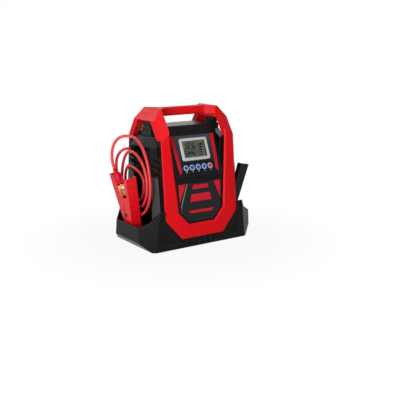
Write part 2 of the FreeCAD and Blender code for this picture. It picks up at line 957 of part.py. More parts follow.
def clamp_nut():
    low, along, off = lug_place()
    seat = low + along * 24 + off * 2.5
    corners = []
    side = V(1, 0, 0)
    for i in range(6):
        angle = math.pi / 3 * i
        corners.append(seat + side * (6 * math.cos(angle)) + along * (6 * math.sin(angle)))
    nut = polygon(corners).extrude(off * 4.5)
    return nut.fuse(rod(seat, seat + off * 6.5, 2.8)).removeSplitter()


def clamp_place(shape, side):
    """Stand the clamp in its pocket, leaning outwards; side is -1 on the left."""
    moved = shape.copy()
    moved.Placement = FreeCAD.Placement(V(-pivot_x, 0, pivot_z), FreeCAD.Rotation(V(0, 1, 0), -clamp_tilt))
    return moved if side < 0 else mirror_x(moved)


def clamp_parts(colour, side):
    floor = box(-300, 300, -300, 300, -50, floor_z)
    lifted = box(-300, 300, -300, 300, -50, floor_z + 2 * clear)
    fixed = clamp_shell(handle_narrow, pin_radius)
    moving = mirror_y(clamp_shell(handle_wide, pin_radius + clear))
    return {
        colour + "_clamp_fixed_handle": clamp_place(fixed, side),
        colour + "_clamp_moving_handle": clamp_place(moving, side),
        colour + "_clamp_fixed_jaw": clamp_place(clamp_jaw(), side).cut(floor),
        colour + "_clamp_moving_jaw": clamp_place(mirror_y(clamp_jaw()), side).cut(lifted),
        colour + "_clamp_pin": clamp_place(clamp_pin(), side),
        colour + "_clamp_spring": clamp_place(clamp_spring(), side),
        colour + "_clamp_boot": clamp_place(clamp_boot(), side),
        colour + "_clamp_lug": clamp_place(clamp_lug(), side),
        colour + "_clamp_nut": clamp_place(clamp_nut(), side),
    }


# Wound forms

def arc_edge(start, corner, end):
    """Arc that touches the two lines from a corner at equal distances."""
    first = corner - start
    second = end - corner
    turn = first.getAngle(second)
    if turn < 1e-4:
        return Part.makeLine(start, end)
    chord = end - start
    middle = start + chord * 0.5
    radius = chord.Length / 2 / math.sin(turn / 2)
    sagitta = radius * (1 - math.cos(turn / 2))
    towards = corner - middle
    towards.normalize()
    return Part.Arc(start, middle + towards * sagitta, end).toShape()


def biarc_edges(stations):
    """Two tangent arcs between each pair of stations, given as (point, direction)."""
    edges = []
    for (p0, d0), (p1, d1) in zip(stations, stations[1:]):
        t0 = V(d0)
        t1 = V(d1)
        t0.normalize()
        t1.normalize()
        run = p1 - p0
        both = t0 + t1
        a = 2 - 2 * t0.dot(t1)
        b = run.dot(both)
        if a < 1e-6:
            reach = run.dot(run) / (2 * b)
        else:
            reach = (-b + math.sqrt(b * b + a * run.dot(run))) / a
        c0 = p0 + t0 * reach
        c1 = p1 - t1 * reach
        joint = (c0 + c1) * 0.5
        for start, corner, end in ((p0, c0, joint), (joint, c1, p1)):
            edges.append(arc_edge(start, corner, end))
    return edges


def pipe(edges, radius, name):
    path = Part.Wire(edges)
    first = edges[0]
    start = first.valueAt(first.FirstParameter)
    along = first.tangentAt(first.FirstParameter)
    ring = Part.Wire([Part.Circle(start, along, radius).toShape()])
    solid = path.makePipeShell([ring], True, False)
    share = solid.Volume / (math.pi * radius ** 2 * path.Length)
    gap = self_gap(path, radius)
    bend = min([e.Curve.Radius for e in edges if hasattr(e.Curve, "Radius")])
    print("%s: length %.0f, volume share %.4f, least radius %.1f, least gap %.2f"
          % (name, path.Length, share, bend, gap))
    return solid


def self_gap(path, radius):
    """Least gap between stretches of a tube that lie more than five diameters apart along it."""
    count = int(path.Length / (radius * 0.75))
    points = path.discretize(Number=count)
    step = path.Length / (count - 1)
    skip = int(10 * radius / step)
    least = 1e9
    for i in range(len(points)):
        for j in range(i + skip, len(points)):
            least = min(least, points[i].distanceToPoint(points[j]))
    return least - 2 * radius


def coil_stations(loops):
    """Quarter points of the hanging loops, each loop smaller than the one before."""
    stations = []
    for k in range(loops["count"]):
        x = -(loops["first_x"] - 8.0 * k)
        top_y = loops["top_y"] + 23.0 * k
        top_z_k = loops["top_z"] - loops["top_step"] * k
        if k > 0:
            stations.append((V(x - 2, top_y, top_z_k), V(0.03, -1, 0)))
        stations.append((V(x, loops["front_y"] + loops["front_step"] * k, loops["mid_z"]), V(0.03, 0, -1)))
        stations.append((V(x + 2, 8.0 * k, loops["low_z"] + 19.0 * k), V(0.03, 1, 0)))
        if k < loops["count"] - 1:
            stations.append((V(x + 4, loops["rear_y"] - 6.0 * k, loops["mid_z"]), V(0.03, 0, 1)))
    return stations


def cable_coil(name, loops, side):
    """The whole cable from the clamp's boot, round its loops, to the gland."""
    seat = clamp_place(Part.Vertex(boot_high), -1).Point
    foot = clamp_place(Part.Vertex(boot_low), -1).Point
    rise = seat - foot
    rise.normalize()
    lead = seat + rise * cable_diameter
    stations = [(lead, rise)]
    stations += loops["rise"]
    stations += coil_stations(loops)
    stations += loops["exit"]
    last = V(-gland_face_x - cable_diameter, gland_y, gland_z)
    stations.append((last, V(1, 0, 0)))
    edges = [Part.makeLine(seat, lead)]
    edges += biarc_edges(stations)
    edges.append(Part.makeLine(last, V(-gland_face_x, gland_y, gland_z)))
    solid = pipe(edges, cable_diameter / 2, name)
    return solid if side < 0 else mirror_x(solid)


red_loops = {
    "count": 3, "first_x": 154.0, "top_y": 15.0, "top_z": 317.0, "top_step": 46.0,
    "front_y": -78.0, "front_step": 31.0, "rear_y": 92.0, "low_z": 92.0, "mid_z": 185.0,
    "rise": [(V(-207, 43, 256), V(0.02, 0, 1)), (V(-184, 12, 317), V(0.3, -1, 0))],
    "exit": [(V(-174, 80, 225), V(0, 0, 1))],
}
black_loops = {
    "count": 3, "first_x": 154.0, "top_y": 18.0, "top_z": 287.0, "top_step": 28.0,
    "front_y": -56.0, "front_step": 23.0, "rear_y": 90.0, "low_z": 92.0, "mid_z": 185.0,
    "rise": [(V(-206, 42, 254), V(0.02, 0, 1)), (V(-188, 12, 287), V(0.35, -1, 0)),
             (V(-170, -48, 235), V(0.15, -0.3, -1))],
    "exit": [(V(-174, 80, 225), V(0, 0, 1))],
}


def cable_gland(side):
    """Gland in the housing's side: a collar outside and a shank through the wall."""
    centre = V(side * gland_face_x, gland_y, gland_z)
    shank = rod(V(side * (side_x - 24), gland_y, gland_z), centre, gland_bore)
    collar = rod(V(side * (side_x - 14), gland_y, gland_z), centre - V(side * 4, 0, 0), gland_radius)
    collar = collar.cut(whole_housing_hull(0))
    return shank.fuse(collar).removeSplitter()


# Fittings at the back

def power_socket():
    flange = rod(V(outlet_x, 0, 0), V(outlet_x, 3, 0), outlet_flange)
    barrel = rod(V(outlet_x, -32, 0), V(outlet_x, 0, 0), outlet_flange - 4)
    body = flange.fuse(barrel).cut(rod(V(outlet_x, -29, 0), V(outlet_x, 5, 0), outlet_bore))
    body = body.fuse(rod(V(outlet_x, -29, 0), V(outlet_x, -25, 0), 3))
    for side in (1, -1):
        ear_x = outlet_x + side * 8
        ear = box(ear_x - 1.5, ear_x + 1.5, 0, hinge_out + 2.5, 14, hinge_rise + 2.5)
        body = body.fuse(ear)
    pin = rod(V(outlet_x - 9.5, hinge_out, hinge_rise), V(outlet_x + 9.5, hinge_out, hinge_rise), hinge_pin)
    return rear_place(body.fuse(pin).removeSplitter())


def socket_cap():
    y0 = 3 + clear
    disc = rod(V(outlet_x, y0, 0), V(outlet_x, y0 + cap_thick, 0), outlet_flange - 3)
    tab = box(outlet_x - 6, outlet_x + 6, y0, y0 + cap_thick, 10, hinge_rise)
    barrel = rod(V(outlet_x - 6, hinge_out, hinge_rise), V(outlet_x + 6, hinge_out, hinge_rise), hinge_barrel)
    cap = disc.fuse(tab).fuse(barrel)
    bore = rod(V(outlet_x - 10, hinge_out, hinge_rise), V(outlet_x + 10, hinge_out, hinge_rise),
               hinge_pin + clear)
    plug = rod(V(outlet_x, y0 - 4, 0), V(outlet_x, y0, 0), outlet_bore - 1.2)
    return rear_place(cap.cut(bore).fuse(plug).removeSplitter())


def charging_inlet():
    flange = rod(V(inlet_x, 0, 0), V(inlet_x, 2.5, 0), 11)
    barrel = rod(V(inlet_x, -18, 0), V(inlet_x, 0, 0), 8)
    body = flange.fuse(barrel).cut(rod(V(inlet_x, -14, 0), V(inlet_x, 5, 0), 4.5))
    return rear_place(body.fuse(rod(V(inlet_x, -14, 0), V(inlet_x, -1, 0), 1.25)).removeSplitter())


def rear_frame(frame):
    for side in (1, -1):
        for x, z in screw_places:
            far = V(side * x, 30, z - fitting_z)
            hole = rod(V(side * x, -5, z - fitting_z), far, screw_shank)
            sink = rod(V(side * x, frame_depth - 8, z - fitting_z), far, screw_head + clear)
            frame = frame.cut(rear_place(hole)).cut(rear_place(sink))
    return frame.removeSplitter()


def frame_screws():
    screws = []
    for side in (1, -1):
        for x, z in screw_places:
            seat = V(side * x, frame_depth - 8, z - fitting_z)
            shank = rod(V(side * x, -wall - 12, z - fitting_z), seat, screw_shank)
            head = rod(seat, seat + V(0, 3, 0), screw_head)
            screws.append(shank.fuse(head).removeSplitter())
    return rear_place(Part.makeCompound(screws))


def export(name, shape):
    shape.exportStep("parts/%s.step" % name)
    solids = len(shape.Solids)
    print("%-26s solids %2d volume %10.1f valid %s" % (name, solids, shape.Volume, shape.isValid()))


def build():
    os.makedirs("parts", exist_ok=True)
    export("base_tray", base_tray())
    export("rubber_feet", rubber_feet())
    export("front_housing", front_housing())
    export("rear_housing", rear_housing())
    frame = front_frame()
    export("front_frame", frame)
    export("rear_frame", rear_frame(mirror_y(frame)))
    export("frame_screws", frame_screws())
    post = handle_post()
    export("right_handle_post", post)
    export("left_handle_post", mirror_x(post))
    export("panel_fascia", panel_fascia())
    export("control_overlay", control_overlay())
    export("display_bezel", display_bezel())
    export("display_window", display_window())
    export("display_module", display_module())
    export("control_board", control_board())
    for i in range(button_count):
        export("button_%d" % (i + 1), push_button(i))
    export("button_rings", button_rings())
    export("button_switches", button_switches())
    export("shield_plate", shield_plate())
    export("shield_label", shield_label())
    export("side_triangles", side_triangles())
    front_battery = battery()
    export("front_battery", front_battery)
    export("rear_battery", mirror_y(front_battery))
    export("battery_terminals", battery_terminals())
    export("battery_link", battery_link())
    export("battery_bar", battery_bar())
    export("main_board", main_board())
    export("board_standoffs", board_standoffs())
    export("relays", relays())
    export("main_fuse", main_fuse())
    for colour, side, loops in (("red", -1, red_loops), ("black", 1, black_loops)):
        for name, shape in clamp_parts(colour, side).items():
            export(name, shape)
        export(colour + "_cable_coil", cable_coil(colour + "_cable_coil", loops, side))
        export(colour + "_cable_gland", cable_gland(side))
    export("power_socket", power_socket())
    export("socket_cap", socket_cap())
    export("charging_inlet", charging_inlet())


build()
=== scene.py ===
import bpy
import bmesh
import math
from mathutils import Matrix, Vector
from mathutils.geometry import tessellate_polygon


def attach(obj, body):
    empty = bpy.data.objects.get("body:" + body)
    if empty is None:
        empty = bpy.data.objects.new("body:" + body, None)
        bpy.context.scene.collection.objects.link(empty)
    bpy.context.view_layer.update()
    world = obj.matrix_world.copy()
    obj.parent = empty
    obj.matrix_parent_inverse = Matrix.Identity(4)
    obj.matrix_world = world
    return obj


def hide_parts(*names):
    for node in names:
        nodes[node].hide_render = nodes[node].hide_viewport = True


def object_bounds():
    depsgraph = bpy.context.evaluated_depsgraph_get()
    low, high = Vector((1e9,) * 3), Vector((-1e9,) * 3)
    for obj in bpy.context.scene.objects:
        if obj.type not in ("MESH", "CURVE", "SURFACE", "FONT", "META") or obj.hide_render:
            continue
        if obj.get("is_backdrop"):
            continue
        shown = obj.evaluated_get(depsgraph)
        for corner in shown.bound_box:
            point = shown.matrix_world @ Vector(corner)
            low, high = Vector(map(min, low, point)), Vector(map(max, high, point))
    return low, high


# Looks of a portable jump-starter power pack, in metres, in the pack's own frame.

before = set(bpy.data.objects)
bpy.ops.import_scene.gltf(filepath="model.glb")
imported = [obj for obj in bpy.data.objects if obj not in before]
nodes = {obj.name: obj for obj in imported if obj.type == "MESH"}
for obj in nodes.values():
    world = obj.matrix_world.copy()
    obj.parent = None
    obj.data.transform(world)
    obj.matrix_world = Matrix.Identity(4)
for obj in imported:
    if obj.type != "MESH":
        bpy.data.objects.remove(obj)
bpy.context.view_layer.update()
scene = bpy.context.scene

# Camera fitted to the photograph
camera_place = Vector((-1.12213, -1.70903, 0.59353))
camera_yaw = math.radians(34.86)
camera_pitch = math.radians(13.20)
camera_lens = 62.8
sensor_width = 36.0

# Panel: its middle at the bezel's top edge, how far it leans back, and its axes, x across, y into it and
# z up it
panel_place = Vector((0, -0.0575, 0.3091))
panel_lean = math.radians(22.5)
panel_axes = Matrix.Translation(panel_place) @ Matrix.Rotation(-panel_lean, 4, "X")
overlay_thick = 0.0008
bezel_half = 0.0479
bezel_height = 0.066
button_drop = 0.0864
button_pitch = 0.02075
button_mid_x = -0.0015
window_face = -0.001      # front of the display window, below the panel's face

# Where the mouldings change their colour or polish. Below leg_bend_z the frames' walls turn black, partly as
# painted shade, and the housing's nose sides get a painted sheen.
leg_bend_z = 0.3125
housing_top_z = 0.3445
louvre_low_z = 0.208
nose_side_x = 0.126
recess_front_y = 0.052
facing_limit = 0.95       # a face turned straight to an axis has more than this along it
outward_limit = 0.5

# Cables
cable_diameter = 0.0084


# Small helpers

def linear(red, green, blue):
    """Scene colour of an sRGB colour given from 0 to 255."""
    out = []
    for value in (red, green, blue):
        share = value / 255
        out.append(share / 12.92 if share <= 0.04045 else ((share + 0.055) / 1.055) ** 2.4)
    return (*out, 1.0)


# Materials

class Shader:
    """A node tree being built, with short ways to add nodes and links."""

    def __init__(self, name):
        self.material = bpy.data.materials.new(name)
        self.material.use_nodes = True
        self.tree = self.material.node_tree
        self.surface = self.tree.nodes["Principled BSDF"]
        coordinates = self.add("ShaderNodeTexCoord")
        self.place = coordinates.outputs["Object"]
        self.facing = coordinates.outputs["Normal"]

    def add(self, kind, **settings):
        node = self.tree.nodes.new(kind)
        for name, value in settings.items():
            setattr(node, name, value)
        return node

    def link(self, source, target):
        self.tree.links.new(source, target)

    def noise(self, scale, detail=3.0, roughness=0.5, stretch=None):
        """Noise that stays with the piece, stretched along its axes if asked for."""
        node = self.add("ShaderNodeTexNoise")
        node.inputs["Scale"].default_value = scale
        node.inputs["Detail"].default_value = detail
        node.inputs["Roughness"].default_value = roughness
        source = self.place
        if stretch:
            mapping = self.add("ShaderNodeMapping")
            mapping.inputs["Scale"].default_value = stretch
            self.link(source, mapping.inputs["Vector"])
            source = mapping.outputs["Vector"]
        self.link(source, node.inputs["Vector"])
        return node.outputs["Fac"]

    def spread(self, source, low, high, from_low=0.3, from_high=0.7):
        """Map a noise onto a range."""
        node = self.add("ShaderNodeMapRange")
        node.inputs["From Min"].default_value = from_low
        node.inputs["From Max"].default_value = from_high
        node.inputs["To Min"].default_value = low
        node.inputs["To Max"].default_value = high
        self.link(source, node.inputs["Value"])
        return node.outputs["Result"]

    def feed(self, value, socket):
        """Give an input a value, which is a socket or a plain one."""
        if isinstance(value, bpy.types.NodeSocket):
            self.link(value, socket)
        else:
            socket.default_value = value

    def mix(self, share, first, second):
        """Mix two colours."""
        node = self.add("ShaderNodeMix", data_type="RGBA")
        for value, socket in ((share, node.inputs[0]), (first, node.inputs[6]), (second, node.inputs[7])):
            self.feed(value, socket)
        return node.outputs[2]

    def calculate(self, operation, first, second=0.0):
        """Result of one operation on one or two numbers."""
        node = self.add("ShaderNodeMath", operation=operation)
        for value, socket in zip((first, second), node.inputs):
            self.feed(value, socket)
        return node.outputs[0]

    def where(self, *tests):
        """Mask that is 1 where every test holds, each an (operation, value, limit)."""
        mask = self.calculate(*tests[0])
        for test in tests[1:]:
            mask = self.calculate("MULTIPLY", mask, self.calculate(*test))
        return mask

    def split(self, source):
        """The x, y and z of a vector."""
        node = self.add("ShaderNodeSeparateXYZ")
        self.link(source, node.inputs[0])
        return node.outputs

    def edges(self, radius):
        """Normal rounded over the edges, and a mask that is 1 along them."""
        bevel = self.add("ShaderNodeBevel", samples=6)
        bevel.inputs["Radius"].default_value = radius
        plain = self.add("ShaderNodeNewGeometry")
        dot = self.add("ShaderNodeVectorMath", operation="DOT_PRODUCT")
        self.link(bevel.outputs["Normal"], dot.inputs[0])
        self.link(plain.outputs["Normal"], dot.inputs[1])
        mask = self.spread(dot.outputs["Value"], 1.0, 0.0, from_low=0.86, from_high=0.995)
        return bevel.outputs["Normal"], mask

    def bump(self, heights, normal=None):
        """Bumps over each other, each a (height, strength, distance)."""
        for height, strength, distance in heights:
            node = self.add("ShaderNodeBump")
            node.inputs["Strength"].default_value = strength
            node.inputs["Distance"].default_value = distance
            self.link(height, node.inputs["Height"])
            if normal:
                self.link(normal, node.inputs["Normal"])
            normal = node.outputs["Normal"]
        self.link(normal, self.surface.inputs["Normal"])


def darker(colour, share):
    """The colour with each of its parts at a share."""
    return (colour[0] * share, colour[1] * share, colour[2] * share, 1.0)


def frame_walls_black_and_shade(shader):
    """Side and back walls of the frames below the bend in their legs, which are painted black: partly the
    black housing seen beside the legs, partly painted shade on the walls inside the window.
    """
    _, y, z = shader.split(shader.place)
    outwards = shader.calculate("MULTIPLY", shader.split(shader.facing)[1], shader.calculate("SIGN", y))
    return shader.where(("LESS_THAN", outwards, outward_limit), ("LESS_THAN", z, leg_bend_z))


def flat_top(shader):
    """Flat top of the housing and the fascia."""
    return shader.where(("GREATER_THAN", shader.split(shader.place)[2], housing_top_z),
                        ("GREATER_THAN", shader.split(shader.facing)[2], facing_limit))


def nose_sides_painted_sheen(shader):
    """Side walls of the housing below its louvres, made lighter grey as a painted sheen."""
    x, y, z = shader.split(shader.place)
    sideways = shader.calculate("ABSOLUTE", shader.split(shader.facing)[0])
    return shader.where(("GREATER_THAN", sideways, facing_limit),
                        ("GREATER_THAN", shader.calculate("ABSOLUTE", x), nose_side_x),
                        ("GREATER_THAN", shader.calculate("ABSOLUTE", y), recess_front_y),
                        ("LESS_THAN", z, louvre_low_z))


def moulded(name, colour, roughness, grain=0.15, grain_scale=1800.0, edge=0.0012, wear_and_highlight=0.12, shine=0.15,
            part=None, part_colour=None, polished=None, polish=0.6):
    """Moulded plastic: slight shading in the colour, handling marks, a fine grain and pale edges, partly wear
    and partly a painted highlight. The function part gives the mask of what has a second colour, and polished
    the mask of what shines more, where "edges" stands for the edges."""
    shader = Shader(name)
    mottle = shader.noise(9.0, detail=4.0)
    marks = shader.noise(55.0, detail=5.0, roughness=0.6)
    fine = shader.noise(grain_scale, detail=2.0)
    base = shader.mix(shader.spread(mottle, 0.0, 1.0), darker(colour, 0.9), colour)
    if part:
        base = shader.mix(part(shader), base, part_colour)
    normal, rim = shader.edges(edge)
    # Pale colour along the edges: light wear, and at the larger shares on black mouldings a painted
    # highlight.
    pale = tuple(min(1.0, c * 1.5 + 0.05) for c in colour[:3]) + (1.0,)
    shader.link(shader.mix(shader.calculate("MULTIPLY", rim, wear_and_highlight), base, pale),
                shader.surface.inputs["Base Color"])
    shader.link(shader.spread(marks, roughness - 0.05, roughness + 0.07), shader.surface.inputs["Roughness"])
    if polished:
        mask = rim if polished == "edges" else polished(shader)
        shine = shader.spread(mask, shine, polish, from_low=0.0, from_high=1.0)
    shader.feed(shine, shader.surface.inputs["Specular IOR Level"])
    shader.bump([(fine, grain, 0.0002), (mottle, 0.06, 0.001)], normal)
    return shader.material


def metal(name, colour, roughness, brushed=(1.0, 1.0, 14.0), edge=0.0006, tarnish=None):
    """Plated or bare metal with fine brushing and a little tarnish."""
    shader = Shader(name)
    shader.surface.inputs["Metallic"].default_value = 1.0
    patches = shader.noise(70.0, detail=5.0, roughness=0.6)
    lines = shader.noise(700.0, detail=2.0, stretch=brushed)
    base = shader.mix(shader.spread(patches, 0.0, 1.0), tarnish or darker(colour, 0.8), colour)
    shader.link(base, shader.surface.inputs["Base Color"])
    shader.link(shader.spread(lines, roughness - 0.06, roughness + 0.1), shader.surface.inputs["Roughness"])
    normal, _ = shader.edges(edge)
    shader.bump([(lines, 0.12, 0.0001)], normal)
    return shader.material


def printed(name, colour, roughness=0.3, shine=0.15, low=None, fade=None):
    """Printed film or label: even colour with a faint print speckle. It fades downwards into the colour
    low between the two heights in fade."""
    shader = Shader(name)
    speckle = shader.noise(2500.0, detail=1.0)
    base = shader.mix(shader.spread(speckle, 0.0, 1.0), darker(colour, 0.94), colour)
    if low:
        depth = shader.spread(shader.split(shader.place)[2], 1.0, 0.0, *fade)
        base = shader.mix(depth, base, low)
    shader.link(base, shader.surface.inputs["Base Color"])
    shader.link(shader.spread(shader.noise(60.0, detail=4.0), roughness - 0.04, roughness + 0.06),
                shader.surface.inputs["Roughness"])
    shader.surface.inputs["Specular IOR Level"].default_value = shine
    normal, _ = shader.edges(radius=0.0003)
    shader.bump([(speckle, 0.03, 0.0001)], normal)
    return shader.material


def clear_window(name):
    """Clear display window with faint wiping marks."""
    shader = Shader(name)
    shader.surface.inputs["Base Color"].default_value = linear(225, 230, 225)
    shader.surface.inputs["Transmission Weight"].default_value = 1.0
    shader.surface.inputs["IOR"].default_value = 1.46
    shader.link(shader.spread(shader.noise(90.0, detail=4.0), 0.02, 0.07),
                shader.surface.inputs["Roughness"])
    return shader.material


def paint(names, material):
    """Give a material to one or more CAD nodes."""
    for name in names.split():
        materials = nodes[name].data.materials
        materials.clear()
        materials.append(material)


red = linear(226, 18, 28)
black = linear(17, 17, 16)
deep_black = linear(18, 18, 19)
# The pale edges of the satin black mouldings are mostly painted highlight.
satin = {"grain": 0.22, "grain_scale": 1500.0, "edge": 0.002, "wear_and_highlight": 0.5, "shine": 0.08}
small_part = {"grain_scale": 2600.0, "edge": 0.0004, "wear_and_highlight": 0.0}
grip = {"grain_scale": 1400.0, "edge": 0.0008, "shine": 0.15}
sleeve = {"grain": 0.05, "grain_scale": 3000.0, "edge": 0.0005, "wear_and_highlight": 0.0}
boot_rubber = {"grain": 0.12, "grain_scale": 1200.0, "edge": 0.0008, "wear_and_highlight": 0.05}

# The frames' side and back walls below the bend are painted black, partly as painted shade.
red_plastic = moulded("red moulding", red, 0.42, grain=0.08, grain_scale=2200.0, edge=0.0022, wear_and_highlight=0.05,
                      shine=0.08, part=frame_walls_black_and_shade, part_colour=black)
black_plastic = moulded("black moulding", black, 0.36, **satin)
# The grey on the housing's nose sides is a painted sheen.
housing_plastic = moulded("housing moulding", black, 0.36, **satin, part=nose_sides_painted_sheen,
                          part_colour=linear(68, 68, 67), polished=flat_top)
# The pale edges of the fascia and the shield are mostly painted highlight.
fascia_plastic = moulded("black fascia", linear(13, 13, 13), 0.34, grain=0.12, edge=0.002, wear_and_highlight=0.6,
                         shine=0.1, polished=flat_top)
shield_plastic = moulded("gloss black shield", linear(14, 14, 15), 0.2, grain=0.03, grain_scale=2500.0,
                         edge=0.0018, wear_and_highlight=0.7, shine=0.2, polished="edges", polish=1.0)
silver_plastic = moulded("silver bezel", linear(196, 197, 194), 0.3, grain=0.1, grain_scale=2600.0,
                         edge=0.001, wear_and_highlight=0.03, shine=0.3)
overlay_film = printed("overlay film", linear(14, 15, 18), 0.34, 0.1)
battery_plastic = moulded("battery case", linear(52, 52, 56), 0.5)
board_film = printed("circuit board", linear(24, 92, 52), 0.4)
inner_black = moulded("black fitting", deep_black, 0.42, grain=0.1)
foot_rubber = moulded("foot rubber", linear(22, 22, 22), 0.75, grain=0.3, grain_scale=900.0)
fuse_plastic = moulded("fuse case", linear(180, 172, 140), 0.4)
label_red = printed("label red", linear(206, 28, 46), 0.32, 0.12)
pale_ring = moulded("pale button ring", linear(176, 198, 236), 0.3, grain=0.04, shine=0.3, **small_part)
blue_button = moulded("blue button", linear(30, 72, 158), 0.26, grain=0.03, shine=0.4, **small_part)
red_button = moulded("red button", linear(196, 24, 40), 0.26, grain=0.03, shine=0.4, **small_part)
red_grip = moulded("red grip", linear(222, 16, 30), 0.3, grain=0.06, wear_and_highlight=0.06, **grip)
black_grip = moulded("black grip", linear(20, 20, 20), 0.32, grain=0.08, wear_and_highlight=0.08, **grip)
red_sleeve = moulded("red cable sleeve", linear(216, 52, 56), 0.36, shine=0.3, **sleeve)
black_sleeve = moulded("black cable sleeve", linear(28, 28, 29), 0.4, shine=0.2, **sleeve)
red_boot = moulded("red boot", linear(196, 14, 40), 0.42, **boot_rubber)
black_boot = moulded("black boot", linear(24, 24, 25), 0.46, **boot_rubber)
copper = metal("copper plate", linear(222, 156, 104), 0.22, tarnish=linear(170, 100, 62))
brass = metal("brass", linear(206, 170, 104), 0.3)
steel = metal("zinc steel", linear(178, 178, 180), 0.32)
dark_steel = metal("blackened pin", linear(70, 62, 60), 0.4)
nut_metal = metal("bright nut", linear(216, 216, 218), 0.18)
display_face = printed("display face", linear(104, 106, 90), 0.45, 0.1)
segment_ink = printed("display segment", linear(26, 28, 22), 0.5, 0.0)
white_ink = printed("white ink", linear(225, 225, 222), 0.4, 0.1)
field_ink = printed("blue-grey field", linear(58, 66, 76), 0.3, 0.12, low=linear(26, 32, 40),
                    fade=(0.245, 0.315))
stripe_ink = printed("red stripe", linear(196, 22, 40), 0.32, 0.12)

paint("base_tray", black_plastic)
paint("front_housing rear_housing", housing_plastic)
paint("front_frame rear_frame", red_plastic)
paint("panel_fascia", fascia_plastic)
paint("shield_plate", shield_plastic)
paint("display_bezel", silver_plastic)
paint("control_overlay", overlay_film)
paint("display_window", clear_window("display window"))
paint("display_module", display_face)
paint("shield_label side_triangles", label_red)
paint("button_rings", pale_ring)
paint("button_1 button_2 button_3 button_4", blue_button)
paint("button_5", red_button)
paint("front_battery rear_battery", battery_plastic)
paint("control_board main_board", board_film)
paint("battery_terminals battery_link board_standoffs", brass)
paint("battery_bar frame_screws red_clamp_spring black_clamp_spring", steel)
paint("red_clamp_pin black_clamp_pin", dark_steel)
paint("red_clamp_fixed_jaw red_clamp_moving_jaw black_clamp_fixed_jaw black_clamp_moving_jaw", copper)
paint("button_switches relays power_socket charging_inlet red_cable_gland black_cable_gland socket_cap",
      inner_black)
paint("main_fuse", fuse_plastic)
paint("rubber_feet", foot_rubber)


# Pieces

def add_piece(name, mesh, material, slot, body="pack"):
    """Piece of the scene on a body, with a material; the argument slot is not used."""
    piece = bpy.data.objects.new(name, mesh)
    scene.collection.objects.link(piece)
    piece.data.materials.append(material)
    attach(piece, body)
    return piece


def plates_mesh(name, plates):
    """Flat plates in one mesh, each (loops, axes, front, back): the first loop is the outline and the rest
    are holes, in (x, z) of the axes, and front and back are its faces' places across them."""
    shape = bmesh.new()
    for loops, axes, front, back in plates:
        flat = [[Vector((x, z, 0)) for x, z in loop] for loop in loops]
        faces = tessellate_polygon(flat)
        sides = []
        for depth in (front, back):
            points = [shape.verts.new(axes @ Vector((x, depth, z))) for loop in loops for x, z in loop]
            for corners in faces:
                shape.faces.new([points[k] for k in corners])
            sides.append(points)
        start = 0
        for loop in loops:
            for i in range(len(loop)):
                j = start + (i + 1) % len(loop)
                i += start
                shape.faces.new((sides[0][j], sides[0][i], sides[1][i], sides[1][j]))
            start += len(loop)
    bmesh.ops.recalc_face_normals(shape, faces=shape.faces)
    bmesh.ops.dissolve_limit(shape, angle_limit=0.001, verts=shape.verts, edges=shape.edges)
    mesh = bpy.data.meshes.new(name)
    shape.to_mesh(mesh)
    shape.free()
    return mesh


def plate_mesh(name, outlines, axes, front, back):
    """Plates without holes, all between the same two faces."""
    return plates_mesh(name, [([outline], axes, front, back) for outline in outlines])


def round_edges(piece, width):
    """Small real bevel on every sharp edge."""
    bevel = piece.modifiers.new("edges", "BEVEL")
    bevel.width = width
    bevel.segments = 2
    bevel.limit_method = "ANGLE"
    bevel.angle_limit = math.radians(25)


def arc_points(centre_x, centre_z, radius, first, last, count):
    """Points of an arc between two angles in degrees."""
    out = []
    for i in range(count + 1):
        angle = math.radians(first + (last - first) * i / count)
        out.append((centre_x + radius * math.cos(angle), centre_z + radius * math.sin(angle)))
    return out


def band(centre_x, centre_z, inner, outer, first, last, count):
    """Outline of a curved band."""
    far_side = arc_points(centre_x, centre_z, outer, first, last, count)
    near_side = arc_points(centre_x, centre_z, inner, first, last, count)
    return far_side + near_side[::-1]


def box_outline(x0, x1, z0, z1):
    return [(x0, z0), (x1, z0), (x1, z1), (x0, z1)]


def mirrored(outline):
    return [(-x, z) for x, z in reversed(outline)]


# Panel print, as thin plates on the overlay

print_thick = 0.00012
film_front = -overlay_thick - print_thick
film_back = -overlay_thick


def add_print(name, outlines, material, slot):
    """Thin plates on the overlay, as one piece."""
    add_piece(name, plate_mesh(name, outlines, panel_axes, film_front, film_back), material, slot)


stripe = [(0.0632, 0.0085), (0.0766, 0.0085), (0.0674, -0.1050), (0.0578, -0.0950)]
add_print("overlay_stripes", [stripe, mirrored(stripe)], stripe_ink, "label_red")

# Field round the bezel, in four parts that leave the bezel free
field_high = 0.0085
field_low = -0.0705
high_x, low_x = 0.0618, 0.0572
field_overlap = 0.004     # how far it reaches in under the bezel
bezel_x = bezel_half - field_overlap
bezel_high = -field_overlap
bezel_low = -bezel_height + field_overlap
field = [
    [(-high_x, field_high), (high_x, field_high), (bezel_x, bezel_high), (-bezel_x, bezel_high)],
    [(high_x, field_high), (low_x, field_low), (bezel_x, bezel_low), (bezel_x, bezel_high)],
    [(low_x, field_low), (-low_x, field_low), (-bezel_x, bezel_low), (bezel_x, bezel_low)],
    [(-low_x, field_low), (-high_x, field_high), (-bezel_x, bezel_high), (-bezel_x, bezel_low)],
]
add_print("overlay_field", field, field_ink, "overlay_film")


# Signs under the buttons, made of plain bars

mark_unit = 0.0006
mark_drop = 0.0135


